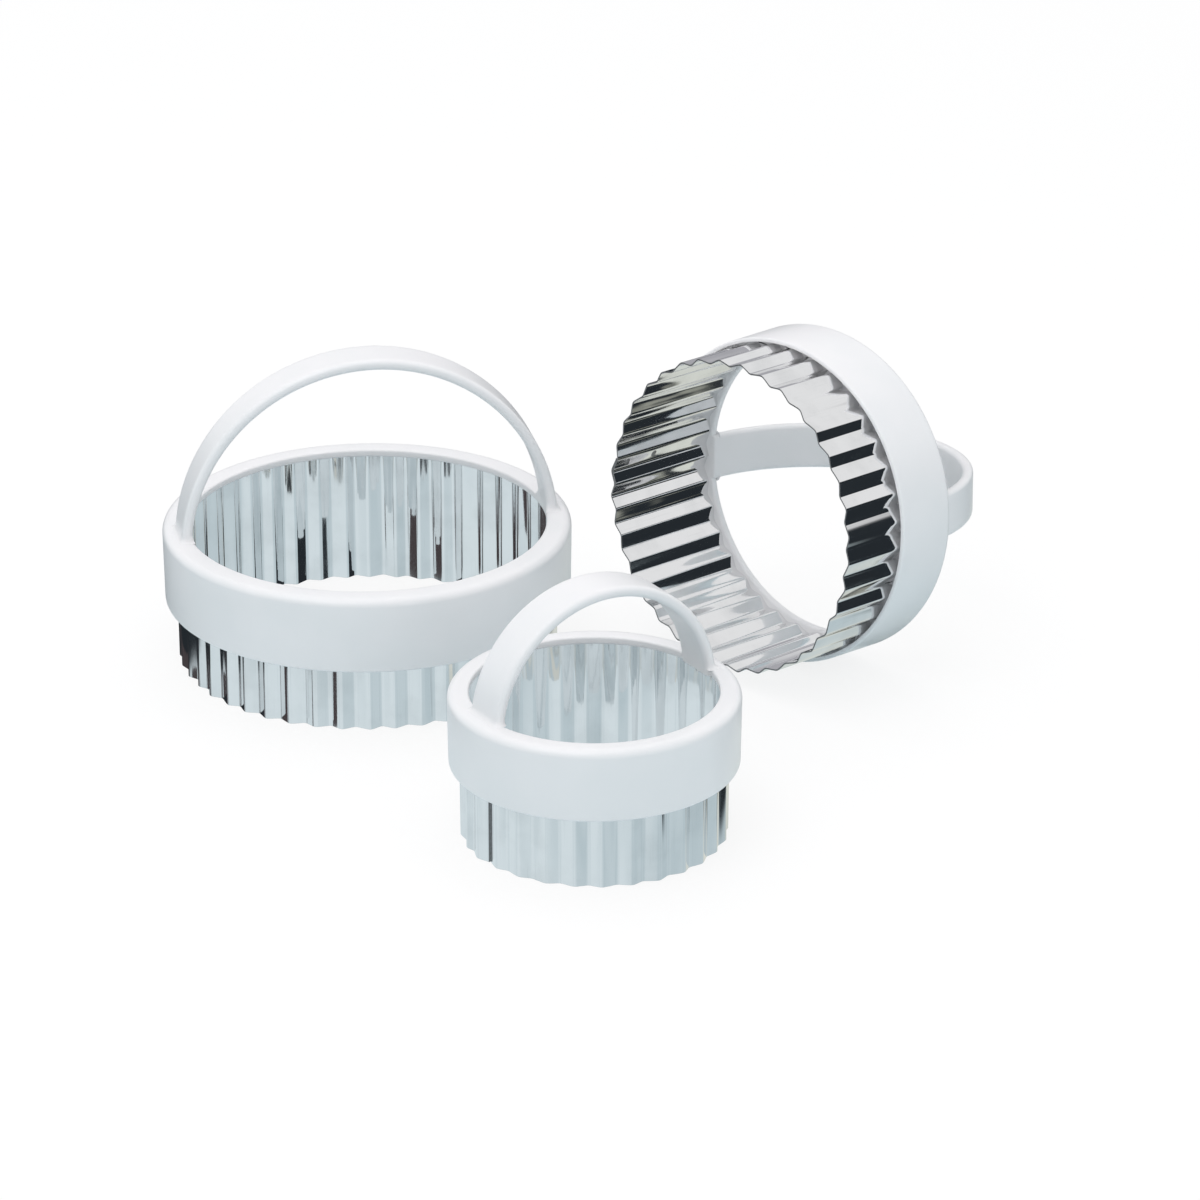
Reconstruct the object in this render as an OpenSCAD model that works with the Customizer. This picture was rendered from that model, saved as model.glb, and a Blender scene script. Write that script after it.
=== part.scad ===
// Three fluted biscuit cutters in stepped sizes.
// The large and the small cutter stand on their cutting edges, the medium one lies on its side.
// Each is a lapped ring of fluted steel strip, a moulded rim and an arched strap handle.
// Lengths are in millimetres, and the set's origin is the middle of its footprint on the table.

/* [Large cutter] */
// Cutting diameter, over the crests of the flutes
large_cut_d = 82.2; // [76:0.2:90]
// Number of flutes
large_flutes = 45; // [36:1:54]
// Depth of a flute, from trough to crest
large_flute_depth = 1.25; // [0.7:0.05:1.8]
// Height from the cutting edge to the top of the rim
large_h = 31; // [26:0.2:40]
// Depth of the rim, from its top to the lower edge of its skirt
large_rim_h = 16.6; // [13:0.1:20]
// Wall of the skirt over the crests of the flutes
large_skirt_t = 2.9; // [1.8:0.1:3.6]
// How far the strap stands on the flange, outwards from the lip
large_foot = 2.45; // [0.8:0.05:3]

/* [Medium cutter] */
// Cutting diameter, over the crests of the flutes
medium_cut_d = 69; // [62:0.2:74]
// Number of flutes
medium_flutes = 36; // [30:1:45]
// Depth of a flute, from trough to crest
medium_flute_depth = 0.9; // [0.7:0.05:1.8]
// Height from the cutting edge to the top of the rim
medium_h = 31.2; // [26:0.2:40]
// Depth of the rim, from its top to the lower edge of its skirt
medium_rim_h = 15.6; // [13:0.1:20]
// Wall of the skirt over the crests of the flutes
medium_skirt_t = 1.3; // [1.2:0.1:2.6]
// How far the strap stands on the flange, outwards from the lip
medium_foot = 1.2; // [0.8:0.05:2.5]

/* [Small cutter] */
// Cutting diameter, over the crests of the flutes
small_cut_d = 55; // [48:0.2:60]
// Number of flutes
small_flutes = 29; // [24:1:36]
// Depth of a flute, from trough to crest
small_flute_depth = 1.05; // [0.7:0.05:1.8]
// Height from the cutting edge to the top of the rim
small_h = 31; // [26:0.2:40]
// Depth of the rim, from its top to the lower edge of its skirt
small_rim_h = 15.5; // [13:0.1:20]
// Wall of the skirt over the crests of the flutes
small_skirt_t = 2.2; // [1.6:0.1:3]
// How far the strap stands on the flange, outwards from the lip
small_foot = 1.15; // [0.8:0.05:2.5]

/* [Steel strip] */
// Thickness of the strip, measured towards the axis
steel_t = 0.35; // [0.25:0.05:0.45]
// Part of the pitch that each bend takes on either side of its middle
bend_share = 0.1; // [0.03:0.01:0.16]

/* [Moulded rim] */
// Thickness of the flange that covers the upper edge of the steel
flange_t = 1.7; // [1.5:0.1:2.2]
// How far the flange's lip shows inside the innermost steel
lip_show = 0.5; // [0.1:0.05:0.8]
// Radius of the outer shoulder
shoulder_r = 1.8; // [0.8:0.1:2]
// Radius of the two edges of the flange's lip
lip_edge_r = 0.5; // [0.2:0.05:0.7]
// Radius of the skirt's lower edge
hem_r = 0.5; // [0.2:0.05:0.55]
// How much the skirt narrows towards its lower edge
skirt_draft = 0.2; // [0:0.05:0.3]
// Gap round the crests of the flutes at the smooth mouth of the skirt
mouth_gap = 0.2; // [0.1:0.05:0.3]
// Height of that mouth, below the fluted seat
mouth_h = 3; // [2:0.5:5]

/* [Strap handle] */
// Width of the strap
strap_w = 10; // [8:0.1:12]
// Thickness of the strap
strap_t = 2.3; // [2:0.1:3]
// Radius of the strap's long edges
strap_edge_r = 1; // [0.3:0.1:1]
// How far the centre of the arch lies below the top of the rim
arch_drop = 3; // [2.4:0.1:4]

/* [Layout] */
// Clear distance between the large and the small rim
small_gap = 26.4; // [12:0.2:60]
// Bearing of the small cutter from the large one
small_bearing = -60.7; // [-80:0.1:-50]
// Clear distance between the large rim and the circle of the medium rim
medium_gap = 19.4; // [14:0.1:60]
// Bearing of the medium rim from the large cutter
medium_bearing = 4.3; // [0:0.1:15]
// Heading of the lying cutter's axis, turned from straight away towards the right
medium_heading = 43.9; // [30:0.1:60]
// How far the lying cutter leans back on the shoulder of its rim
medium_lean = 3.9; // [1:0.1:5]
// Angle that the large handle is turned by
large_handle_angle = 12.8; // [0:0.1:45]
// Angle that the medium handle is turned by, about its own axis
medium_handle_angle = -4; // [-10:0.1:10]
// Angle that the small handle is turned by
small_handle_angle = 32.6; // [0:0.1:45]
// Angle of the large strip's lap
large_lap_angle = 192; // [180:0.1:204]
// Angle of the medium strip's lap
medium_lap_angle = 181.6; // [170:0.1:190]
// Angle of the small strip's lap
small_lap_angle = 211.2; // [200:0.1:224]

/* [Hidden] */
// Clearance of the steel and of the feet in their seats
seat_clear = 0.05;
// Overrun of every cut
over = 1;
// Segments of a full turn
$fn = 96;
// Segments of a rounded edge
edge_steps = 6;

// One row per cutter, which the functions below read
large = [
    large_cut_d, large_flutes, large_flute_depth, large_h, large_rim_h,
    large_skirt_t, large_foot, large_handle_angle, large_lap_angle,
];
medium = [
    medium_cut_d, medium_flutes, medium_flute_depth, medium_h, medium_rim_h,
    medium_skirt_t, medium_foot, medium_handle_angle, medium_lap_angle,
];
small = [
    small_cut_d, small_flutes, small_flute_depth, small_h, small_rim_h,
    small_skirt_t, small_foot, small_handle_angle, small_lap_angle,
];
function cut_r(c) = c[0] / 2;
function flutes(c) = c[1];
function flute_depth(c) = c[2];
function cutter_h(c) = c[3];
function rim_h(c) = c[4];
function skirt_t(c) = c[5];
function foot(c) = c[6];
function handle_angle(c) = c[7];
function lap_angle(c) = c[8];

// A flute as points: share of the pitch along it, and share of its depth above the trough
bend_rise_share = bend_share / (1 - 2 * bend_share);
flute_shares = [
    [0, 0],
    [bend_share, bend_rise_share],
    [0.5 - bend_share, 1 - bend_rise_share],
    [0.5, 1],
    [0.5 + bend_share, 1 - bend_rise_share],
    [1 - bend_share, bend_rise_share],
];
points_per_flute = len(flute_shares);
// The strip overlaps itself by one flute
lap_points = points_per_flute;

function flute_angle(c) = 360 / flutes(c);
// Radius of the steel's inner face in the trough where the strip starts
function trough_r(c) = cut_r(c) - flute_depth(c) - steel_t * (2 + 1 / flutes(c));
function lip_bore_r(c) = trough_r(c) - lip_show;
function rim_r(c) = cut_r(c) + skirt_t(c);
function strap_r(c) = lip_bore_r(c) + foot(c);
function blade_h(c) = cutter_h(c) - flange_t;

function polar(r, a) = [r * cos(a), r * sin(a)];
function arc(centre, r, from, to) =
    [for (k = [0:edge_steps]) centre + polar(r, from + (to - from) * k / edge_steps)];

// The strip winds outwards by its own thickness in a turn, so its ends lap without a gap
function strip_angle(c, k) =
    (floor(k / points_per_flute) + flute_shares[k % points_per_flute][0]) * flute_angle(c);
function strip_face_r(c, k, out) =
    trough_r(c) + flute_depth(c) * flute_shares[k % points_per_flute][1]
    + steel_t * strip_angle(c, k) / 360 + out;
function strip_point(c, k, out) = polar(strip_face_r(c, k, out), strip_angle(c, k));
function turn_points(c) = points_per_flute * flutes(c);

function inner_outline(c) = [for (k = [0:turn_points(c)]) strip_point(c, k, 0)];
function outer_outline(c) =
    [for (k = [lap_points:turn_points(c) + lap_points]) strip_point(c, k, steel_t)];

// The seat follows the steel's outer face at a clearance, round the cut end of the strip too
function seat_outline(c) =
    let (last = turn_points(c) + lap_points,
         out = steel_t + seat_clear,
         step_angle = flute_angle(c) + seat_clear / cut_r(c) * 180 / PI)
    concat([polar(strip_face_r(c, lap_points, out), step_angle)],
           [for (k = [lap_points + 1:last]) strip_point(c, k, out)],
           [polar(strip_face_r(c, last, out), step_angle)]);

// Half section of the rim, as radius and height above the cutting edge
function rim_section(c) =
    let (top = cutter_h(c),
         hem = top - rim_h(c),
         under = top - flange_t,
         lip = lip_bore_r(c) + lip_edge_r,
         outside = rim_r(c))
    concat([[lip, hem]],
           arc([lip, under + lip_edge_r], lip_edge_r, 270, 180),
           arc([lip, top - lip_edge_r], lip_edge_r, 180, 90),
           arc([outside - shoulder_r, top - shoulder_r], shoulder_r, 90, 0),
           arc([outside - skirt_draft - hem_r, hem + hem_r], hem_r, 0, -90));

// Cross-section of the strap, as radius and distance from its middle line
function strap_section(c) =
    let (far = strap_r(c) - strap_edge_r,
         near = strap_r(c) - strap_t + strap_edge_r,
         side = strap_w / 2 - strap_edge_r)
    concat(arc([far, side], strap_edge_r, 0, 90),
           arc([near, side], strap_edge_r, 90, 180),
           arc([near, -side], strap_edge_r, 180, 270),
           arc([far, -side], strap_edge_r, 270, 360));

// The crest of the lapped flute faces along the lap's angle, behind the left foot of the handle
module turn_to_lap(c) {
    rotate(lap_angle(c) - flute_angle(c) / 2)
        children();
}

// Ring of fluted strip, lapped by one flute, with its cutting edge at height zero
module fluted_blade(c) {
    color("lightsteelblue")
        turn_to_lap(c)
            linear_extrude(blade_h(c))
                difference() {
                    polygon(outer_outline(c));
                    polygon(inner_outline(c));
                }
}

// Rim with a flange over the steel, a fluted seat that keys it and a smooth mouth below the seat
module moulded_rim(c) {
    color("whitesmoke")
        difference() {
            rotate_extrude()
                polygon(rim_section(c));
            translate([0, 0, cutter_h(c) - rim_h(c) - over])
                turn_to_lap(c)
                    linear_extrude(rim_h(c) - flange_t + over)
                        polygon(seat_outline(c));
            translate([0, 0, cutter_h(c) - rim_h(c) - over])
                cylinder(r = cut_r(c) + mouth_gap, h = mouth_h + over);
        }
}

// Half ring of strap: each foot stands on the flange, and what reaches inside the lip ends flush with it
module strap_handle(c) {
    color("white")
        difference() {
            translate([0, 0, cutter_h(c) - arch_drop])
                rotate([0, 0, handle_angle(c)])
                    rotate([90, 0, 0])
                        rotate_extrude(angle = 180)
                            polygon(strap_section(c));
            translate([0, 0, cutter_h(c) - flange_t])
                linear_extrude(flange_t)
                    difference() {
                        circle(strap_r(c) + over);
                        circle(lip_bore_r(c) - seat_clear);
                    }
            translate([0, 0, cutter_h(c) - arch_drop - over])
                linear_extrude(arch_drop - flange_t + over)
                    circle(strap_r(c) + over);
        }
}

// Places on the table, measured from the large cutter
small_place = polar(rim_r(large) + rim_r(small) + small_gap, small_bearing);
medium_top = polar(rim_r(large) + rim_r(medium) + medium_gap, medium_bearing);

// Unit directions of the lying cutter: its axis, its side and its back
axis_level = polar(cos(medium_lean), 90 - medium_heading);
medium_axis = [axis_level[0], axis_level[1], -sin(medium_lean)];
side_level = polar(1, -medium_heading);
medium_side = [side_level[0], side_level[1], 0];
medium_back = cross(medium_side, medium_axis);

// The shoulder of the lying rim touches the table
medium_edge_place = [
    medium_top[0] - medium_h * medium_axis[0],
    medium_top[1] - medium_h * medium_axis[1],
    (rim_r(medium) - shoulder_r) * cos(medium_lean) + shoulder_r
    + (medium_h - shoulder_r) * sin(medium_lean),
];

// Footprint of the set: the lying handle reaches furthest to the right
strap_normal = -sin(medium_handle_angle) * medium_side - cos(medium_handle_angle) * medium_back;
strap_reach = strap_edge_r
    + (strap_r(medium) - strap_edge_r) * sqrt(1 - pow(strap_normal[0], 2))
    + (strap_w / 2 - strap_edge_r) * abs(strap_normal[0]);
right_end = medium_top[0] - arch_drop * medium_axis[0] + strap_reach;
left_end = -rim_r(large);
far_end = rim_r(large);
near_end = small_place[1] - rim_r(small);
footprint_middle = [(left_end + right_end) / 2, (near_end + far_end) / 2, 0];

module place_large() {
    translate(-footprint_middle)
        children();
}

module place_small() {
    translate([small_place[0], small_place[1], 0] - footprint_middle)
        children();
}

module place_medium() {
    translate(medium_edge_place - footprint_middle)
        rotate([0, 0, -medium_heading])
            rotate([-90 - medium_lean, 0, 0])
                children();
}

module large_blade() { place_large() fluted_blade(large); }
module large_rim() { place_large() moulded_rim(large); }
module large_handle() { place_large() strap_handle(large); }
module medium_blade() { place_medium() fluted_blade(medium); }
module medium_rim() { place_medium() moulded_rim(medium); }
module medium_handle() { place_medium() strap_handle(medium); }
module small_blade() { place_small() fluted_blade(small); }
module small_rim() { place_small() moulded_rim(small); }
module small_handle() { place_small() strap_handle(small); }

large_blade();
large_rim();
large_handle();
medium_blade();
medium_rim();
medium_handle();
small_blade();
small_rim();
small_handle();
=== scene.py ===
"""Looks of a set of three fluted biscuit cutters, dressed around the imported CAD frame.

Sizes are in millimetres, as in the part's source, and meshes are made in metres.
"""
import logging
import math
from dataclasses import dataclass
from enum import Enum
from typing import List, Mapping, Optional, Sequence, Tuple, Union

import bmesh
import bpy
import numpy as np
from mathutils import Matrix, Vector


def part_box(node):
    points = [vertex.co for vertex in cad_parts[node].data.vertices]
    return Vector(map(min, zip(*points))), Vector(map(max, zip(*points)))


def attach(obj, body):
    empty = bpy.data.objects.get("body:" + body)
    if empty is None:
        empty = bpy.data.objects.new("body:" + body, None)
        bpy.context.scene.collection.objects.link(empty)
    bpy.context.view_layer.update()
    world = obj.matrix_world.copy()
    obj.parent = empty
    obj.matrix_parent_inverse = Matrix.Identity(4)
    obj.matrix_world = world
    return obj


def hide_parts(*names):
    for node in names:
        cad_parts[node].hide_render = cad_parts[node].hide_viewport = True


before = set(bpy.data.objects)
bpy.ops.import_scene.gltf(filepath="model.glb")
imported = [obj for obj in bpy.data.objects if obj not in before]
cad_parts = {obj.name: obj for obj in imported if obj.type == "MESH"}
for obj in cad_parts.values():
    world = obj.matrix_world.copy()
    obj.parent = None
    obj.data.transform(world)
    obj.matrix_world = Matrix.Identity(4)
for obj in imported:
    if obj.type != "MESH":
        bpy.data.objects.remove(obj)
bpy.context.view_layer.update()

LOG = logging.getLogger("cutters")
MM = 0.001
Colour = Tuple[float, float, float]
Point = Tuple[float, float, float]
Pair = Tuple[float, float]
Span = Pair
WHITE: Colour = (1.0, 1.0, 1.0)
DARK: Colour = (0.02, 0.025, 0.03)


class Slot(Enum):
    """Material slots of the record."""

    STEEL = "fluted_steel"
    PLASTIC = "white_plastic"


# Shader maths


class Wire:
    """An output socket whose arithmetic adds Math nodes to its tree."""

    def __init__(self, tree: bpy.types.NodeTree, socket: bpy.types.NodeSocket) -> None:
        """Wraps one output socket.

        Args:
            tree: The tree that the socket belongs to.
            socket: The output socket.
        """
        self.tree = tree
        self.socket = socket

    def _maths(self, operation: str, first: "Value", second: "Value") -> "Wire":
        """Adds a Math node.

        Args:
            operation: The node's operation.
            first: A wire or a number.
            second: A wire or a number.

        Returns:
            The node's result.
        """
        node = self.tree.nodes.new("ShaderNodeMath")
        node.operation = operation
        for target, value in zip(node.inputs, (first, second)):
            if isinstance(value, Wire):
                self.tree.links.new(value.socket, target)
            else:
                target.default_value = value
        return Wire(self.tree, node.outputs[0])

    def __add__(self, other: "Value") -> "Wire":
        """Sum."""
        return self._maths("ADD", self, other)

    def __radd__(self, other: "Value") -> "Wire":
        """Sum with the number first."""
        return self._maths("ADD", other, self)

    def __sub__(self, other: "Value") -> "Wire":
        """Difference."""
        return self._maths("SUBTRACT", self, other)

    def __rsub__(self, other: "Value") -> "Wire":
        """Difference with the number first."""
        return self._maths("SUBTRACT", other, self)

    def __mul__(self, other: "Value") -> "Wire":
        """Product."""
        return self._maths("MULTIPLY", self, other)

    def __rmul__(self, other: "Value") -> "Wire":
        """Product with the number first."""
        return self._maths("MULTIPLY", other, self)

    def maximum(self, other: "Value") -> "Wire":
        """The larger of the two."""
        return self._maths("MAXIMUM", self, other)


Value = Union[Wire, float]


class Sheet:
    """A node tree and the one method that adds its nodes."""

    def __init__(self, tree: bpy.types.NodeTree) -> None:
        """Clears the tree.

        Args:
            tree: The node tree of a material or of the world.
        """
        self.tree = tree
        tree.nodes.clear()

    @staticmethod
    def _find(
        sockets: Sequence[bpy.types.NodeSocket], key: Union[str, int],
    ) -> bpy.types.NodeSocket:
        """Finds a socket by its place, identifier or name.

        Args:
            sockets: The inputs or outputs of a node.
            key: The socket's place, identifier or name.

        Returns:
            The socket.
        """
        if isinstance(key, int):
            return sockets[key]
        for socket in sockets:
            if socket.identifier == key:
                return socket
        return sockets[key]

    def node(
        self,
        kind: str,
        settings: Optional[Mapping[str, object]] = None,
        sockets: Optional[Mapping[Union[str, int], object]] = None,
        output: Union[str, int] = 0,
    ) -> Wire:
        """Adds a node.

        Args:
            kind: The node's type, without the word ShaderNode.
            settings: Its properties.
            sockets: The values or wires of its inputs.
            output: The output that is returned.

        Returns:
            The chosen output.
        """
        node = self.tree.nodes.new("ShaderNode" + kind)
        for key, value in (settings or {}).items():
            setattr(node, key, value)
        for key, value in (sockets or {}).items():
            target = self._find(node.inputs, key)
            if isinstance(value, Wire):
                self.tree.links.new(value.socket, target)
            elif isinstance(value, tuple) and len(target.default_value) == 4:
                target.default_value = (*value, 1)
            else:
                target.default_value = value
        return Wire(self.tree, self._find(node.outputs, output) if node.outputs else None)

    def blend(
        self, share: Value, first: Union[Wire, Colour], second: Union[Wire, Colour],
    ) -> Wire:
        """Mixes two colours.

        Args:
            share: 0 for the first colour and 1 for the second.
            first: A colour or a wire.
            second: A colour or a wire.

        Returns:
            The mixed colour.
        """
        return self.node(
            "Mix", {"data_type": "RGBA"},
            {"Factor_Float": share, "A_Color": first, "B_Color": second}, "Result_Color",
        )

    def step(self, value: Value, span: Span) -> Wire:
        """Smooth step from 0 at the first end of a span to 1 at the second."""
        return self.node(
            "MapRange", {"interpolation_type": "SMOOTHSTEP"},
            {"Value": value, "From Min": span[0], "From Max": span[1]}, "Result",
        )

    def noise(self, vector: Wire, scale: float, detail: float) -> Wire:
        """Noise from 0 to 1 along a vector."""
        return self.node(
            "TexNoise", {"noise_dimensions": "3D"},
            {"Vector": vector, "Scale": scale, "Detail": detail, "Roughness": 0.5}, 0,
        )

    def parts(self, vector: Wire) -> Tuple[Wire, ...]:
        """Parts of a vector: to the right, to the back and up."""
        split = self.node("SeparateXYZ", {}, {0: vector}).socket.node
        return tuple(Wire(self.tree, socket) for socket in split.outputs)

    def relief(self, height: Wire, strength: float, distance: float) -> Wire:
        """Normal of a fine relief whose full height is a distance in metres."""
        return self.node("Bump", {}, {
            "Strength": strength, "Distance": distance, "Height": height,
        }, "Normal")

    def surface(self, shader: Wire) -> None:
        """Ends a material with its shader."""
        self.node("OutputMaterial", {}, {"Surface": shader})


def new_material(name: str) -> Tuple[bpy.types.Material, Sheet]:
    """Makes a material without a surface yet.

    Args:
        name: Its name.

    Returns:
        The material and the sheet of its nodes.
    """
    material = bpy.data.materials.new(name)
    material.use_nodes = True
    return material, Sheet(material.node_tree)


# Finishes


@dataclass(frozen=True)
class SteelFinish:
    """Bright rolled strip, close to a mirror, with faint marks of rolling and handling."""

    name: str = "upright_rolled_steel"
    axis: Point = (0.0, 0.0, 1.0)
    bright: Colour = (0.87, 0.87, 0.875)
    smudged: Colour = (0.74, 0.745, 0.75)
    polish: float = 0.035
    haze: float = 0.09
    streaks_per_metre: float = 2600
    smears_per_metre: float = 110
    streak_length_share: float = 0.03
    streak_height: float = 2e-6
    streak_strength: float = 0.5
    streak_span: Span = (0.55, 0.8)
    smear_span: Span = (0.42, 0.72)
    smear_colour_share: float = 0.6
    streak_colour_share: float = 0.3
    smear_haze_share: float = 0.35
    streak_haze_share: float = 0.3

    def material(self) -> bpy.types.Material:
        """Builds the finish.

        Returns:
            The material, whose streaks follow the flutes.
        """
        material, sheet = new_material(self.name)
        place = sheet.node("TexCoord", output="Object")
        height = sheet.node(
            "VectorMath", {"operation": "DOT_PRODUCT"}, {0: place, 1: self.axis}, "Value")
        shift = sheet.node("VectorMath", {"operation": "SCALE"}, {
            0: self.axis, "Scale": height * (self.streak_length_share - 1),
        })
        along = sheet.node("VectorMath", {"operation": "ADD"}, {0: place, 1: shift})
        streaks = sheet.noise(along, self.streaks_per_metre, 3)
        smears = sheet.step(sheet.noise(place, self.smears_per_metre, 4), self.smear_span)
        fine = sheet.step(streaks, self.streak_span)
        dull = smears * self.smear_colour_share + fine * self.streak_colour_share
        haze = smears * self.smear_haze_share + streaks * self.streak_haze_share
        sheet.surface(sheet.node("BsdfPrincipled", {}, {
            "Base Color": sheet.blend(dull, self.bright, self.smudged),
            "Metallic": 1.0,
            "Roughness": self.polish + self.haze * haze,
            "Normal": sheet.relief(streaks, self.streak_strength, self.streak_height),
        }, "BSDF"))
        return material


@dataclass(frozen=True)
class DullSteelFinish:
    """Dull, grained steel of a pressed spot weld or of a sheared edge."""

    name: str = "pressed_weld"
    steel: Colour = (0.42, 0.44, 0.46)
    tan: Colour = (0.30, 0.27, 0.24)
    roughness: float = 0.34
    spread: float = 0.15
    grain_per_metre: float = 5200
    grain_span: Span = (0.35, 0.7)
    grain_height: float = 2e-5
    grain_strength: float = 0.4

    def material(self) -> bpy.types.Material:
        """Builds the finish.

        Returns:
            The material.
        """
        material, sheet = new_material(self.name)
        place = sheet.node("TexCoord", output="Object")
        grain = sheet.noise(place, self.grain_per_metre, 4)
        sheet.surface(sheet.node("BsdfPrincipled", {}, {
            "Base Color": sheet.blend(sheet.step(grain, self.grain_span), self.steel, self.tan),
            "Metallic": 1.0,
            "Roughness": self.roughness + self.spread * grain,
            "Normal": sheet.relief(grain, self.grain_strength, self.grain_height),
        }, "BSDF"))
        return material


@dataclass(frozen=True)
class PlasticFinish:
    """Moulded white plastic with a satin skin."""

    name: str = "satin_white_plastic"
    white: Colour = (0.89, 0.885, 0.895)
    cool: Colour = (0.86, 0.865, 0.875)
    roughness: float = 0.30
    spread: float = 0.10
    clouds_per_metre: float = 70
    cloud_span: Span = (0.3, 0.75)
    cloud_share: float = 0.6
    grain_per_metre: float = 2600
    grain_share: float = 0.4
    grain_height: float = 8e-6
    grain_strength: float = 0.35
    gloss: float = 0.12
    gloss_roughness: float = 0.12
    refraction: float = 1.49

    def material(self) -> bpy.types.Material:
        """Builds the finish.

        Returns:
            The material.
        """
        material, sheet = new_material(self.name)
        place = sheet.node("TexCoord", output="Object")
        clouds = sheet.noise(place, self.clouds_per_metre, 3)
        grain = sheet.noise(place, self.grain_per_metre, 3)
        uneven = clouds * self.cloud_share + grain * self.grain_share
        sheet.surface(sheet.node("BsdfPrincipled", {}, {
            "Base Color": sheet.blend(sheet.step(clouds, self.cloud_span), self.white, self.cool),
            "Roughness": self.roughness + self.spread * uneven,
            "Normal": sheet.relief(grain, self.grain_strength, self.grain_height),
            "Coat Weight": self.gloss,
            "Coat Roughness": self.gloss_roughness,
            "IOR": self.refraction,
        }, "BSDF"))
        return material


# Meshes


class Loft:
    """Collects rings of points and skins them with quads."""

    def __init__(self) -> None:
        """Starts empty."""
        self.mesh = bmesh.new()

    def skin(self, rings: np.ndarray, closed: bool, capped: bool = False) -> None:
        """Skins rings that each close on themselves.

        Args:
            rings: Points by ring and by place round it, in millimetres.
            closed: Whether the last ring joins the first.
            capped: Whether the two ends are closed with a face.
        """
        rows = [[self.mesh.verts.new(point * MM) for point in ring] for ring in rings]
        count = len(rows[0])
        for here, after in zip(rows, rows[1:] + rows[:1] if closed else rows[1:]):
            for k in range(count):
                j = (k + 1) % count
                self.mesh.faces.new((here[k], here[j], after[j], after[k]))
        if capped:
            self.mesh.faces.new(rows[0])
            self.mesh.faces.new(rows[-1])

    def finish(self, name: str, sharp: float) -> bpy.types.Mesh:
        """Ends the mesh.

        Args:
            name: The mesh's name.
            sharp: Edges with a larger angle between their faces stay sharp, in degrees.

        Returns:
            The mesh, smooth but for its sharp edges.
        """
        bmesh.ops.recalc_face_normals(self.mesh, faces=self.mesh.faces[:])
        mesh = bpy.data.meshes.new(name)
        self.mesh.to_mesh(mesh)
        self.mesh.free()
        for polygon in mesh.polygons:
            polygon.use_smooth = True
        mesh.set_sharp_from_angle(angle=math.radians(sharp))
        return mesh


def arc(centre: Pair, radius: float, start: float, end: float, steps: int) -> np.ndarray:
    """Points of an arc in a section.

    Args:
        centre: Its centre.
        radius: Its radius.
        start: First angle, in degrees.
        end: Last angle, in degrees.
        steps: Number of segments.

    Returns:
        The points, ends included.
    """
    angles = np.radians(np.linspace(start, end, steps + 1))
    across, up = centre
    return np.stack([across + radius * np.cos(angles), up + radius * np.sin(angles)], 1)


@dataclass(frozen=True)
class SharedSizes:
    """Sizes that the three cutters share, as in the part's source."""

    steel_t: float = 0.35
    bend_share: float = 0.1
    flange_t: float = 1.7
    lip_show: float = 0.5
    shoulder_r: float = 1.8
    lip_edge_r: float = 0.5
    hem_r: float = 0.5
    skirt_draft: float = 0.2
    mouth_gap: float = 0.2
    mouth_h: float = 3
    seat_clear: float = 0.05
    strap_w: float = 10
    strap_t: float = 2.3
    strap_edge_r: float = 1
    arch_drop: float = 3


SHARED = SharedSizes()


@dataclass(frozen=True)
class CutterSizes:
    """Sizes of one cutter, as in the part's source."""

    cut_d: float
    flutes: int
    flute_depth: float
    height: float
    rim_h: float
    skirt_t: float
    foot: float
    handle_angle: float
    lap_angle: float

    @property
    def cut_r(self) -> float:
        """Radius over the crests of the flutes."""
        return self.cut_d / 2

    @property
    def trough_r(self) -> float:
        """Radius of the steel's inner face in the trough where the strip starts."""
        return self.cut_r - self.flute_depth - SHARED.steel_t * (2 + 1 / self.flutes)

    @property
    def bore_r(self) -> float:
        """Radius of the flange's lip."""
        return self.trough_r - SHARED.lip_show

    @property
    def rim_r(self) -> float:
        """Radius of the rim."""
        return self.cut_r + self.skirt_t

    @property
    def strap_r(self) -> float:
        """Outer radius of the strap."""
        return self.bore_r + self.foot

    @property
    def blade_h(self) -> float:
        """Height of the steel."""
        return self.height - SHARED.flange_t


LARGE = CutterSizes(
    cut_d=82.2, flutes=45, flute_depth=1.25, height=31, rim_h=16.6, skirt_t=2.9, foot=2.45,
    handle_angle=12.8, lap_angle=192)
MEDIUM = CutterSizes(
    cut_d=69, flutes=36, flute_depth=0.9, height=31.2, rim_h=15.6, skirt_t=1.3, foot=1.2,
    handle_angle=-4, lap_angle=181.6)
SMALL = CutterSizes(
    cut_d=55, flutes=29, flute_depth=1.05, height=31, rim_h=15.5, skirt_t=2.2, foot=1.15,
    handle_angle=32.6, lap_angle=211.2)


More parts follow.
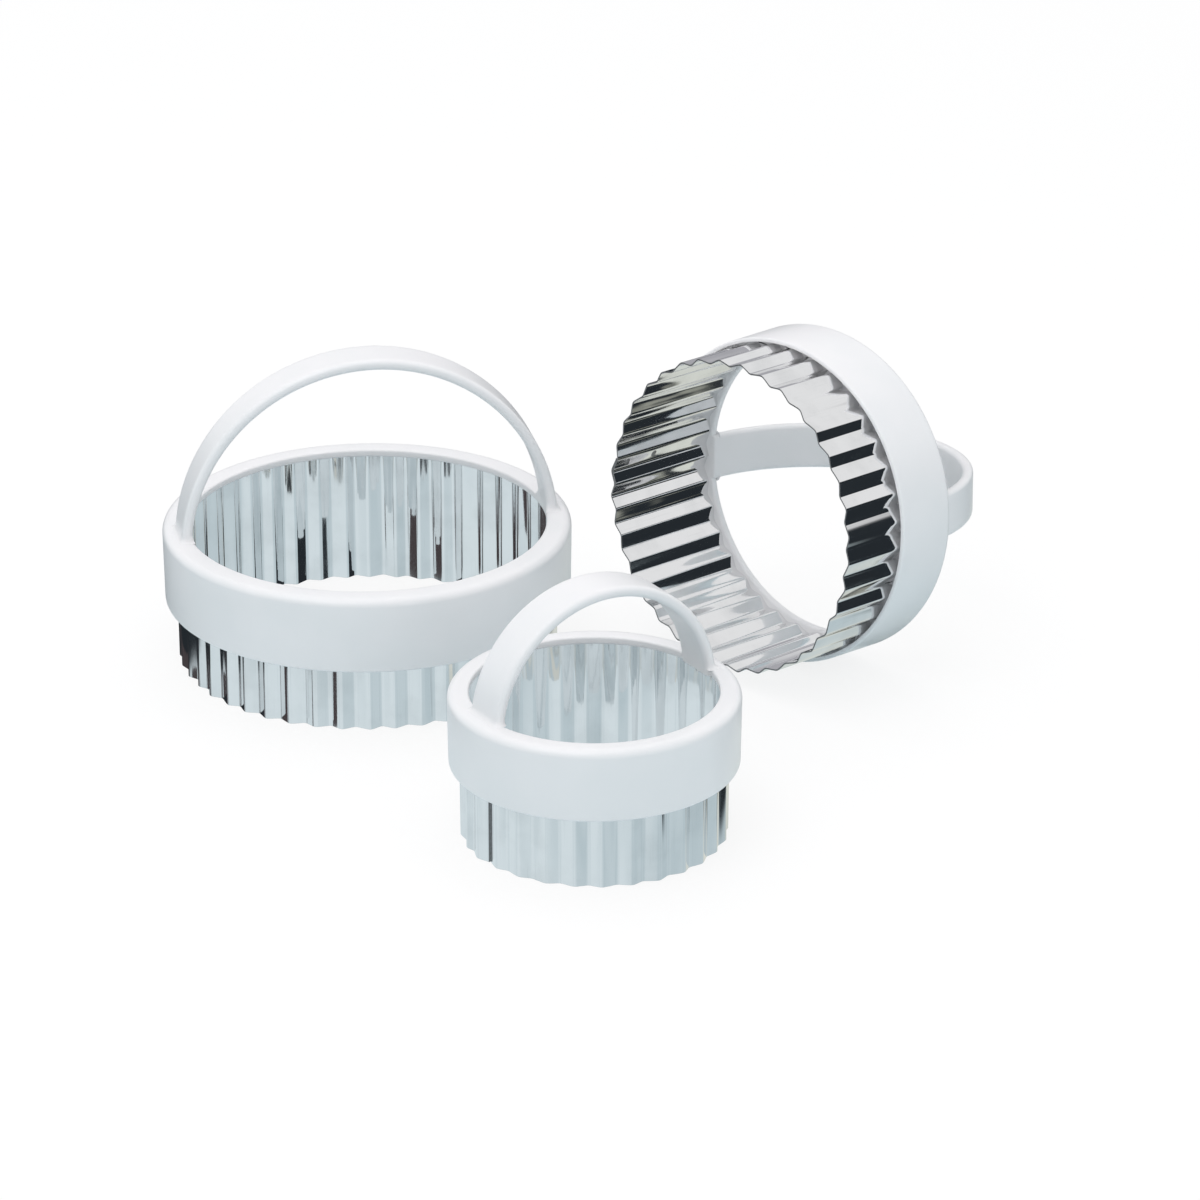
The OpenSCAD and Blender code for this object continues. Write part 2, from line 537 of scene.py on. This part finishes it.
@dataclass(frozen=True)
class Layout:
    """Where the cutters are on the table, as in the part's source."""

    small_gap: float = 26.4
    small_bearing: float = -60.7
    medium_gap: float = 19.4
    medium_bearing: float = 4.3
    medium_heading: float = 43.9
    medium_lean: float = 3.9

    @staticmethod
    def _polar(radius: float, bearing: float) -> Vector:
        """Point on the table at a distance and a bearing in degrees."""
        angle = math.radians(bearing)
        return Vector((radius * math.cos(angle), radius * math.sin(angle), 0))

    def large(self) -> Matrix:
        """Place of the large cutter, read from its rim in the frame."""
        low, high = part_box("large_rim")
        middle = (low + high) / 2
        return Matrix.Translation((middle.x, middle.y, 0))

    def small(self) -> Matrix:
        """Place of the small cutter."""
        step = self._polar(LARGE.rim_r + SMALL.rim_r + self.small_gap, self.small_bearing)
        return Matrix.Translation(step * MM) @ self.large()

    def medium(self) -> Matrix:
        """Place of the medium cutter, which lies on the shoulder of its rim.

        Returns:
            The matrix that takes its upright meshes to the table.
        """
        turn = Matrix.Rotation(math.radians(-self.medium_heading), 4, "Z") @ Matrix.Rotation(
            math.radians(-90 - self.medium_lean), 4, "X")
        axis = turn @ Vector((0, 0, 1))
        top = self._polar(LARGE.rim_r + MEDIUM.rim_r + self.medium_gap, self.medium_bearing)
        lean = math.radians(self.medium_lean)
        edge = top - MEDIUM.height * axis
        edge.z = (
            (MEDIUM.rim_r - SHARED.shoulder_r) * math.cos(lean) + SHARED.shoulder_r
            + (MEDIUM.height - SHARED.shoulder_r) * math.sin(lean)
        )
        return Matrix.Translation(edge * MM) @ self.large() @ turn


@dataclass
class FlutedWall:
    """The shape of a fluted strip that was formed by hand-fed rollers, so no two flutes match."""

    sizes: CutterSizes
    seed: int
    shift: float = 0.035
    depth_spread: float = 0.05
    warp: float = 0.07
    flare: float = 0.0
    bend_steps: int = 5
    flank_steps: int = 3

    def __post_init__(self) -> None:
        """Draws the small errors of the flutes from the seed."""
        draw = np.random.default_rng(self.seed)

        def errors(spread: float) -> np.ndarray:
            """One error for each bend, at most twice the spread."""
            return draw.normal(0, spread, 2 * self.sizes.flutes).clip(-2 * spread, 2 * spread)

        self.shifts = errors(self.shift)
        self.offsets = errors(self.depth_spread)
        self.warps = errors(self.warp)

    def turns(self, laps: int) -> np.ndarray:
        """Places along the strip, counted in flutes.

        Args:
            laps: Flutes past the full turn.

        Returns:
            The places, closer together in the bends.
        """
        bend = SHARED.bend_share
        half = np.concatenate([
            np.linspace(0, bend, self.bend_steps, endpoint=False),
            np.linspace(bend, 0.5 - bend, self.flank_steps, endpoint=False),
            np.linspace(0.5 - bend, 0.5, self.bend_steps, endpoint=False),
        ])
        flute = np.concatenate([half, half + 0.5])
        count = self.sizes.flutes + laps
        places = (np.arange(count)[:, None] + flute[None, :]).ravel()
        return np.append(places, count) if laps else places

    def profile(self, share: np.ndarray) -> np.ndarray:
        """Height of the flute above its trough, with rounded bends.

        Args:
            share: Place within the pitch, from 0 to 1.

        Returns:
            The height as a share of the depth.
        """
        bend = SHARED.bend_share
        away = np.minimum(share, 1 - share)
        slope = 1 / (0.5 - bend)
        trough = slope * away ** 2 / (2 * bend)
        flank = slope * (away - bend / 2)
        crest = 1 - slope * (0.5 - away) ** 2 / (2 * bend)
        return np.where(away < bend, trough, np.where(away > 0.5 - bend, crest, flank))

    def bearing(self, turns: np.ndarray) -> np.ndarray:
        """Bearings of places along the strip, in radians."""
        pitch = 360 / self.sizes.flutes
        return np.radians(self.sizes.lap_angle - pitch / 2 + turns * pitch)

    def points(self, turns: np.ndarray, heights: np.ndarray, out: np.ndarray) -> np.ndarray:
        """Points of the wall.

        Args:
            turns: Places along the strip, in flutes.
            heights: Heights above the cutting edge, one for each point of the section.
            out: Distances out from the inner face, one for each point of the section.

        Returns:
            The points by place and by height, in millimetres.
        """
        size = self.sizes
        share = turns % 1
        rise = self.profile(share)
        half = np.floor(turns * 2).astype(int)
        nodes = 2 * size.flutes
        weight = np.where(half % 2 == 0, rise, 1 - rise)

        def between(values: np.ndarray) -> np.ndarray:
            """Value between the two nearest bends."""
            return values[half % nodes] * (1 - weight) + values[(half + 1) % nodes] * weight

        up = heights / size.blade_h - 0.5
        scale = 1 + self.flare * up
        base = size.trough_r + SHARED.steel_t * turns / size.flutes + size.flute_depth / 2
        swing = (rise - 0.5)[:, None] * scale[None, :]
        error = between(self.offsets)[:, None] + between(self.warps)[:, None] * up[None, :]
        radius = base[:, None] + size.flute_depth * (swing + error) + out[None, :]
        angle = self.bearing(turns + between(self.shifts))
        x = radius * np.cos(angle)[:, None]
        y = radius * np.sin(angle)[:, None]
        return np.stack([x, y, np.broadcast_to(heights, radius.shape)], -1)


@dataclass
class FlutedBlade:
    """Ring of fluted steel strip, lapped by one flute, whose sheared edges take a second finish."""

    wall: FlutedWall
    edge: float = 0.03
    rows: int = 24
    lap_gap: float = 0.02
    edge_slope: float = 0.5
    sharp: float = 30

    def section(self) -> Tuple[np.ndarray, np.ndarray]:
        """Section of the strip, with its edges broken.

        Returns:
            Heights above the cutting edge, and distances out from the inner face.
        """
        top = self.wall.sizes.blade_h
        far = SHARED.steel_t - self.lap_gap
        rise = np.linspace(self.edge, top - self.edge, self.rows)
        heights = np.concatenate([[0], rise, [top, top], rise[::-1], [0]])
        out = np.concatenate([
            [self.edge], np.zeros(self.rows), [self.edge, far - self.edge],
            np.full(self.rows, far), [far - self.edge],
        ])
        return heights, out

    def mesh(self, name: str) -> bpy.types.Mesh:
        """Builds the strip.

        Args:
            name: The mesh's name.

        Returns:
            The mesh in the cutter's own frame.
        """
        heights, out = self.section()
        loft = Loft()
        rings = self.wall.points(self.wall.turns(1), heights, out)
        loft.skin(rings, closed=False, capped=True)
        mesh = loft.finish(name, self.sharp)
        for face in mesh.polygons:
            sheared = abs(face.normal.z) > self.edge_slope or len(face.vertices) > 4
            face.material_index = int(sheared)
        return mesh


@dataclass
class MouldedRim:
    """Moulded collar: a flange over the steel, a seat that keys its flutes and a smooth mouth."""

    wall: FlutedWall
    shoulder_steps: int = 10
    edge_steps: int = 6
    mouth_edge: float = 0.12
    mouth_steps: int = 3
    sharp: float = 35

    def shell(self) -> np.ndarray:
        """Section of the rim from the flange's lip round its outside to the end of the mouth.

        Returns:
            Points as radius and height.
        """
        size = self.wall.sizes
        top, bore, outside = size.height, size.bore_r, size.rim_r
        hem = top - size.rim_h
        under = top - SHARED.flange_t
        mouth = size.cut_r + SHARED.mouth_gap
        lip, shoulder, low, edge = (
            SHARED.lip_edge_r, SHARED.shoulder_r, SHARED.hem_r, self.mouth_edge)
        return np.concatenate([
            arc((bore + lip, under + lip), lip, 270, 180, self.edge_steps),
            arc((bore + lip, top - lip), lip, 180, 90, self.edge_steps),
            arc((outside - shoulder, top - shoulder), shoulder, 90, 0, self.shoulder_steps),
            arc((outside - SHARED.skirt_draft - low, hem + low), low, 0, -90, self.edge_steps),
            arc((mouth + edge, hem + edge), edge, 270, 180, self.mouth_steps),
            [[mouth, hem + SHARED.mouth_h]],
        ])

    def mesh(self, name: str) -> bpy.types.Mesh:
        """Builds the rim.

        Args:
            name: The mesh's name.

        Returns:
            The mesh in the cutter's own frame.
        """
        size = self.wall.sizes
        shell = self.shell()
        turns = self.wall.turns(0)
        angle = self.wall.bearing(turns)
        ledge = size.height - size.rim_h + SHARED.mouth_h
        heights = np.array([ledge, size.height - SHARED.flange_t])
        out = np.full(2, SHARED.steel_t + SHARED.seat_clear)
        seat = self.wall.points(turns, heights, out)
        rings = []
        for across, along, radii in zip(
                np.cos(angle), np.sin(angle), np.hypot(seat[..., 0], seat[..., 1])):
            radius, up = np.concatenate([shell, np.stack([radii, heights], 1)]).T
            rings.append(np.stack([radius * across, radius * along, up], 1))
        loft = Loft()
        loft.skin(np.array(rings), closed=True)
        return loft.finish(name, self.sharp)


@dataclass
class StrapHandle:
    """Arched strap whose feet run into the flange's lip and spread a little at the root.

    The toe_ends are the heights above the toe and the insets of the rings that round its end.
    """

    sizes: CutterSizes
    corner_steps: int = 6
    side_steps: int = 6
    arch_steps: int = 96
    flare: float = 0.7
    flare_h: float = 1.2
    flare_steps: int = 6
    flare_gap: float = 0.01
    lift_h: float = 2.2
    lift_steps: int = 4
    cover: float = 0.03
    edge_spare: float = 0.02
    toe_ends: Tuple[Pair, ...] = ((0.03, 0.4), (0.1, 0.2), (0.25, 0.06), (0.45, 0))
    toe_h: float = 0.8
    toe_steps: int = 2
    toe_gap: float = 0.05
    sharp: float = 50

    def section(self, near: float, far: float, grow: float) -> np.ndarray:
        """Section of the strap.

        Args:
            near: Distance of its inner face from the axis of the arch.
            far: Distance of its outer face.
            grow: How far its outer face and its sides are grown.

        Returns:
            Points as distance and place across the strap.
        """
        far = far + grow
        edge = min(SHARED.strap_edge_r, (far - near) / 2 - self.edge_spare)
        side = SHARED.strap_w / 2 + grow - edge
        corners = [
            (far - edge, side, 0), (near + edge, side, 90),
            (near + edge, -side, 180), (far - edge, -side, 270),
        ]
        parts = []
        for k, (x, y, start) in enumerate(corners):
            parts.append(arc((x, y), edge, start, start + 90, self.corner_steps))
            if k % 2 == 1:
                _, y_next, _ = corners[(k + 1) % len(corners)]
                x_side = near if k == 1 else far
                line = np.linspace(y, y_next, self.side_steps + 2)[1:-1]
                parts.append(np.stack([np.full(self.side_steps, x_side), line], 1))
        return np.concatenate(parts)

    def level(self, height: float, grow: float, inset: float = 0.0) -> np.ndarray:
        """Level ring through a foot, whose inner side runs into the lip.

        Args:
            height: Height above the centre of the arch.
            grow: How far its outer face and its sides are grown.
            inset: How far its inner side is drawn back into the lip.

        Returns:
            The ring's points.
        """
        size = self.sizes
        near = math.sqrt((size.strap_r - SHARED.strap_t) ** 2 - height ** 2) + inset
        far = math.sqrt(size.strap_r ** 2 - height ** 2)
        ring = self.section(near, far, grow)
        share = min(max((height - SHARED.arch_drop) / self.lift_h, 0), 1)
        pull = 1 - share * share * (3 - 2 * share)
        lip = np.sqrt(size.bore_r ** 2 - ring[:, 1] ** 2) - self.cover + inset
        inner = ring[:, 0] < (near + far) / 2
        ring[:, 0] -= pull * inner * np.maximum(ring[:, 0] - lip, 0)
        centre = size.height - SHARED.arch_drop
        return np.stack([ring[:, 0], ring[:, 1], np.full(len(ring), centre + height)], 1)

    def foot(self) -> List[np.ndarray]:
        """Level rings of one foot, from its toe up to the arch.

        Returns:
            The rings.
        """
        drop = SHARED.arch_drop
        toe = drop - SHARED.flange_t
        rings = [self.level(toe + rise, -inset, inset) for rise, inset in self.toe_ends]
        plain = np.linspace(toe + self.toe_h, drop - self.toe_gap, self.toe_steps + 1)
        rings += [self.level(height, 0) for height in plain]
        for step in np.linspace(0, 1, self.flare_steps + 1):
            grow = self.flare * (1 - math.sqrt(1 - (1 - step) ** 2))
            rings.append(self.level(drop + self.flare_gap + self.flare_h * step, grow))
        lift = np.linspace(drop + self.flare_h, drop + self.lift_h, self.lift_steps + 1)
        return rings + [self.level(height, 0) for height in lift[1:-1]]

    def arch(self) -> List[np.ndarray]:
        """Rings of the arch, from one foot to the other.

        Returns:
            The rings.
        """
        near = self.sizes.strap_r - SHARED.strap_t
        centre = self.sizes.height - SHARED.arch_drop
        start = math.degrees(math.asin((SHARED.arch_drop + self.lift_h) / near))
        away, across = self.section(near, self.sizes.strap_r, 0).T
        return [
            np.stack([away * math.cos(angle), across, centre + away * math.sin(angle)], 1)
            for angle in np.radians(np.linspace(start, 180 - start, self.arch_steps + 1))
        ]

    def mesh(self, name: str) -> bpy.types.Mesh:
        """Builds the strap from one foot over the arch to the other.

        Args:
            name: The mesh's name.

        Returns:
            The mesh in the cutter's own frame.
        """
        foot = self.foot()
        mirrored = [ring * np.array([-1, 1, 1]) for ring in foot[::-1]]
        rings = np.array(foot + self.arch() + mirrored)
        turn = math.radians(self.sizes.handle_angle)
        x = rings[..., 0] * math.cos(turn) - rings[..., 1] * math.sin(turn)
        y = rings[..., 0] * math.sin(turn) + rings[..., 1] * math.cos(turn)
        loft = Loft()
        loft.skin(np.stack([x, y, rings[..., 2]], -1), closed=False, capped=True)
        return loft.finish(name, self.sharp)


@dataclass
class SpotWelds:
    """Pressed spot welds on the inside of the lap."""

    wall: FlutedWall
    heights: Tuple[float, ...] = (3.6, 12.0)
    radius: float = 0.75
    dome: float = 0.09
    rings: int = 5
    points_round: int = 24
    place: float = 0.76
    sharp: float = 60

    def ring(self, height: float, share: float) -> np.ndarray:
        """One ring of a weld.

        Args:
            height: Height of the weld's middle above the cutting edge.
            share: Radius of the ring as a share of the weld's.

        Returns:
            The ring's points.
        """
        sizes = self.wall.sizes
        pitch_length = 2 * math.pi * sizes.cut_r / sizes.flutes
        rise = self.dome * (1 - share ** 2)
        points = []
        for k in range(self.points_round):
            angle = 2 * math.pi * k / self.points_round
            turn = self.place + share * self.radius * math.cos(angle) / pitch_length
            level = height + share * self.radius * math.sin(angle)
            flank = self.wall.points(np.array([turn]), np.array([level]), np.array([-rise]))
            points.append(flank[0, 0])
        return np.array(points)

    def mesh(self, name: str) -> bpy.types.Mesh:
        """Builds the welds as shallow domes that follow the flank they are pressed into.

        Args:
            name: The mesh's name.

        Returns:
            The mesh in the cutter's own frame.
        """
        loft = Loft()
        for height in self.heights:
            rings = [self.ring(height, 1 - k / self.rings) for k in range(self.rings)]
            loft.skin(np.array(rings), closed=False, capped=True)
        return loft.finish(name, self.sharp)


# Cutters


@dataclass
class Cutter:
    """One cutter: its steel, its rim and its handle."""

    name: str
    wall: FlutedWall
    place: Matrix
    steel: bpy.types.Material
    plastic: bpy.types.Material
    weld: bpy.types.Material
    sheared: bpy.types.Material

    @property
    def body(self) -> str:
        """Body of the frame that the cutter rides on."""
        return self.name + "_cutter"

    def add(
        self,
        kind: str,
        mesh: bpy.types.Mesh,
        material: bpy.types.Material,
        slot: Slot,
        stands_for: str = "",
    ) -> None:
        """Puts a piece in its place.

        Args:
            kind: What the piece is.
            mesh: Its mesh in the cutter's own frame.
            material: Its finish.
            slot: The record's slot of that finish; not used.
            stands_for: The CAD node that it replaces, without the cutter's name.
        """
        mesh.transform(self.place)
        piece = bpy.data.objects.new(f"{self.name}_{kind}", mesh)
        bpy.context.scene.collection.objects.link(piece)
        mesh.materials.append(material)
        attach(piece, self.body)
        if stands_for:
            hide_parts(f"{self.name}_{stands_for}")
        LOG.info("%s: %d faces on %s", piece.name, len(mesh.polygons), self.body)

    def build(self) -> None:
        """Builds and places every piece of the cutter."""
        blade = FlutedBlade(self.wall).mesh(self.name + "_strip")
        self.add("fluted_strip", blade, self.steel, Slot.STEEL, "blade")
        blade.materials.append(self.sheared)
        rim = MouldedRim(self.wall).mesh(self.name + "_collar")
        self.add("moulded_collar", rim, self.plastic, Slot.PLASTIC, "rim")
        strap = StrapHandle(self.wall.sizes).mesh(self.name + "_strap")
        self.add("arched_strap", strap, self.plastic, Slot.PLASTIC, "handle")
        welds = SpotWelds(self.wall).mesh(self.name + "_welds")
        self.add("spot_welds", welds, self.weld, Slot.STEEL)


# Studio


@dataclass
class PaleFloor:
    """Floor that is white to the camera, keeps a soft shadow and lights the set from below."""

    half: float = 6.0
    squares: int = 8
    drop: float = 0.00005
    shadow: float = 0.18
    bounce: Colour = (0.62, 0.74, 0.775)

    def lay(self) -> None:
        """Lays the floor just below the table's plane."""
        mesh = bmesh.new()
        bmesh.ops.create_grid(
            mesh, x_segments=self.squares, y_segments=self.squares, size=self.half)
        data = bpy.data.meshes.new("pale_floor")
        mesh.to_mesh(data)
        mesh.free()
        floor = bpy.data.objects.new("pale_floor", data)
        floor.location.z = -self.drop
        bpy.context.scene.collection.objects.link(floor)
        floor.visible_glossy = False
        material, sheet = new_material("pale_floor")
        camera_ray = sheet.node("LightPath", output="Is Camera Ray")
        colour = sheet.blend(camera_ray, self.bounce, WHITE)
        paint = sheet.node("BsdfDiffuse", {}, {"Color": colour})
        glow = sheet.node("Emission", {}, {"Color": WHITE, "Strength": 1.0})
        sheet.surface(sheet.node("MixShader", {}, {
            0: camera_ray * (1 - self.shadow), 1: paint, 2: glow,
        }))
        data.materials.append(material)


@dataclass(frozen=True)
class Card:
    """A flat card that only the steel sees, with its corners in metres."""

    name: str
    corners: Tuple[Point, ...]

    @classmethod
    def level(cls, name: str, width: Span, depth: Span, height: float) -> "Card":
        """A card that lies level."""
        (left, right), (front, back) = width, depth
        return cls(name, (
            (left, front, height), (right, front, height),
            (right, back, height), (left, back, height),
        ))

    @classmethod
    def upright(cls, name: str, right: float, depth: Span, height: Span) -> "Card":
        """A card that stands upright and faces sideways."""
        (front, back), (low, high) = depth, height
        return cls(name, (
            (right, front, low), (right, back, low), (right, back, high), (right, front, high),
        ))

    def put(self) -> Tuple[Sheet, Wire]:
        """Puts the card in its place, without its surface yet.

        Returns:
            The sheet of its material, and the place on the card.
        """
        data = bpy.data.meshes.new(self.name)
        data.from_pydata(self.corners, [], [tuple(range(len(self.corners)))])
        card = bpy.data.objects.new(self.name, data)
        bpy.context.scene.collection.objects.link(card)
        card.visible_camera = False
        card.visible_diffuse = False
        card.visible_shadow = False
        material, sheet = new_material(self.name)
        data.materials.append(material)
        return sheet, sheet.node("TexCoord", output="Object")

    @staticmethod
    def shine(sheet: Sheet, colour: Union[Wire, Colour]) -> None:
        """Ends the card's material with what the steel sees."""
        sheet.surface(sheet.node("Emission", {}, {"Color": colour, "Strength": 1.0}))


@dataclass
class ReflectedPaper:
    """White paper under the table that only the steel sees, with dark beyond its edges.

    Spans are in metres, to the right or to the back, and each runs from none to all.
    """

    half: float = 6.0
    drop: float = 0.1
    paper: Colour = (0.71, 0.80, 0.835)
    grey: Colour = (0.51, 0.61, 0.65)
    warm: Colour = (0.70, 0.725, 0.67)
    slant: Pair = (-0.75, 0.66)
    slant_edge: Span = (0.238, 0.262)
    left_edge: Span = (-0.298, -0.310)
    right_edge: Span = (0.215, 0.235)
    right_edge_back: Span = (0.0, 0.02)
    clouds_per_metre: float = 9.0
    cloud_span: Span = (0.42, 0.62)
    cloud_share: float = 0.3
    grey_right: Span = (-0.02, 0.1)
    grey_share: float = 0.7
    warm_right: Span = (0.02, 0.12)
    warm_back: Span = (0.03, 0.10)

    def lay(self) -> None:
        """Lays the paper."""
        side = (-self.half, self.half)
        sheet, place = Card.level("reflected_paper", side, side, -self.drop).put()
        right, back, _ = sheet.parts(place)
        slanted = self.slant[0] * right + self.slant[1] * back
        left_dark = sheet.step(slanted, self.slant_edge).maximum(
            sheet.step(right, self.left_edge))
        right_dark = sheet.step(right, self.right_edge) * sheet.step(back, self.right_edge_back)
        clouds = sheet.step(sheet.noise(place, self.clouds_per_metre, 2), self.cloud_span)
        greyness = self.cloud_share * clouds + self.grey_share * sheet.step(
            right, self.grey_right)
        warmth = sheet.step(right, self.warm_right) * sheet.step(back, self.warm_back)
        colour = sheet.blend(greyness, self.paper, self.grey)
        colour = sheet.blend(warmth, colour, self.warm)
        Card.shine(sheet, sheet.blend(left_dark.maximum(right_dark), colour, DARK))


@dataclass
class ReflectedShade:
    """Small cards under the table, for the dark that only some of the flutes mirror."""

    brown: Colour = (0.065, 0.055, 0.058)
    olive: Colour = (0.30, 0.31, 0.27)
    left_card: Card = Card.upright("left_shade_card", -0.18, (0.028, 0.1), (-0.066, -0.044))
    slim_card: Card = Card.upright("slim_shade_card", -0.18, (-0.016, 0.004), (-0.062, -0.044))
    middle_card: Card = Card.upright("middle_shade_card", 0.0, (0.066, 0.2), (-0.075, -0.004))
    right_card: Card = Card.level("right_shade_card", (0.07, 0.17), (0.034, 0.078), -0.02)
    streaks_per_metre: float = 70.0
    streak_span: Span = (0.5, 0.62)

    def put(self) -> None:
        """Puts the cards in their places."""
        plain = (
            (self.left_card, self.brown),
            (self.slim_card, self.brown),
            (self.middle_card, DARK),
        )
        for card, colour in plain:
            sheet, _ = card.put()
            card.shine(sheet, colour)
        sheet, place = self.right_card.put()
        streaks = sheet.step(sheet.noise(place, self.streaks_per_metre, 2), self.streak_span)
        self.right_card.shine(sheet, sheet.blend(streaks, DARK, self.olive))


@dataclass
class Surroundings:
    """White to the camera, an even sky to the plastic and a lit room to the steel.

    Spans are of the direction looked in: to the right, to the back or up.
    """

    sky: Colour = (0.66, 0.668, 0.675)
    walls: Colour = (0.84, 0.845, 0.85)
    far_wall: Colour = (0.42, 0.42, 0.45)
    doorway_narrowing: float = 3.0
    doorway_side: Span = (-0.05, 0.15)
    doorway_top: Span = (0.31, 0.27)
    far_back: Span = (0.86, 0.95)
    far_top: Span = (0.5, 0.3)

    def build(self) -> None:
        """Surrounds the set."""
        world = bpy.data.worlds.new("studio")
        bpy.context.scene.world = world
        world.use_nodes = True
        sheet = Sheet(world.node_tree)
        right, back, up = sheet.parts(sheet.node("TexCoord", output="Generated"))
        beside = right - self.doorway_narrowing * back.maximum(0 - back)
        doorway = sheet.step(beside, self.doorway_side) * sheet.step(up, self.doorway_top)
        far = sheet.step(back, self.far_back) * sheet.step(up, self.far_top)
        room = sheet.blend(doorway, sheet.blend(far, self.walls, self.far_wall), DARK)
        seen = sheet.blend(sheet.node("LightPath", output="Is Glossy Ray"), self.sky, room)
        seen = sheet.blend(sheet.node("LightPath", output="Is Camera Ray"), seen, WHITE)
        glow = sheet.node("Background", {}, {"Color": seen, "Strength": 1.0})
        sheet.node("OutputWorld", {}, {"Surface": glow})


def look_at(thing: bpy.types.Object, place: Vector, aim: Vector) -> None:
    """Puts a lamp or a camera in its place and turns it.

    Args:
        thing: The lamp or the camera.
        place: Its place, in metres.
        aim: The point that it faces, in metres.
    """
    thing.location = place
    thing.rotation_euler = (aim - place).to_track_quat("-Z", "Y").to_euler()
    bpy.context.scene.collection.objects.link(thing)


@dataclass(frozen=True)
class Softbox:
    """A soft square lamp, with its place and its width in metres."""

    name: str
    place: Point
    width: float
    watts: float
    mirrored: bool = False
    colour: Colour = (1.0, 0.985, 1.0)
    aim: Point = (0, 0, 0.02)

    def hang(self) -> None:
        """Hangs the lamp."""
        data = bpy.data.lights.new(self.name, "AREA")
        data.shape = "SQUARE"
        data.size = self.width
        data.energy = self.watts
        data.color = self.colour
        lamp = bpy.data.objects.new(self.name, data)
        look_at(lamp, Vector(self.place), Vector(self.aim))
        lamp.visible_glossy = self.mirrored


@dataclass
class Studio:
    """Pale floor, what the steel mirrors, soft lamps and the camera."""

    softboxes: Tuple[Softbox, ...] = (
        Softbox("overhead_softbox", (-0.1, 0.25, 1.1), 1.1, 3.8),
        Softbox("front_softbox", (-0.35, -0.55, 1.05), 0.9, 3.4, mirrored=True),
        Softbox("low_softbox", (0.9, -0.45, 0.12), 0.6, 1.1),
    )
    lens: float = 166.14
    sensor: float = 36
    camera_place: Point = (6.87, -1059.9, 497.45)
    camera_aim: Point = (6.87, 63.05, 0)
    nearest: float = 0.01
    farthest: float = 100

    def camera(self) -> None:
        """Sets the camera at the photograph's place and lens."""
        data = bpy.data.cameras.new("camera")
        data.sensor_width = self.sensor
        data.lens = self.lens
        data.clip_start = self.nearest
        data.clip_end = self.farthest
        camera = bpy.data.objects.new("camera", data)
        look_at(camera, Vector(self.camera_place) * MM, Vector(self.camera_aim) * MM)
        bpy.context.scene.camera = camera

    def build(self) -> None:
        """Sets up the whole studio."""
        PaleFloor().lay()
        ReflectedPaper().lay()
        ReflectedShade().put()
        Surroundings().build()
        for softbox in self.softboxes:
            softbox.hang()
        self.camera()
        bpy.context.scene.view_settings.view_transform = "Standard"


def main() -> None:
    """Builds the set and its studio."""
    logging.basicConfig(level=logging.INFO, format="%(message)s")
    plastic = PlasticFinish().material()
    weld = DullSteelFinish().material()
    sheared = DullSteelFinish(
        name="sheared_edge", steel=(0.30, 0.31, 0.32), tan=(0.22, 0.22, 0.22), roughness=0.4,
    ).material()
    layout = Layout()
    lying_axis = tuple(layout.medium().to_3x3() @ Vector((0, 0, 1)))
    upright = SteelFinish().material()
    lying = SteelFinish(name="lying_rolled_steel", axis=lying_axis).material()
    large = FlutedWall(LARGE, seed=3)
    medium = FlutedWall(MEDIUM, seed=5)
    small = FlutedWall(SMALL, seed=8, flare=0.3)
    for cutter in (
        Cutter("large", large, layout.large(), upright, plastic, weld, sheared),
        Cutter("medium", medium, layout.medium(), lying, plastic, weld, sheared),
        Cutter("small", small, layout.small(), upright, plastic, weld, sheared),
    ):
        cutter.build()
    Studio().build()


if __name__ == "__main__":
    main()
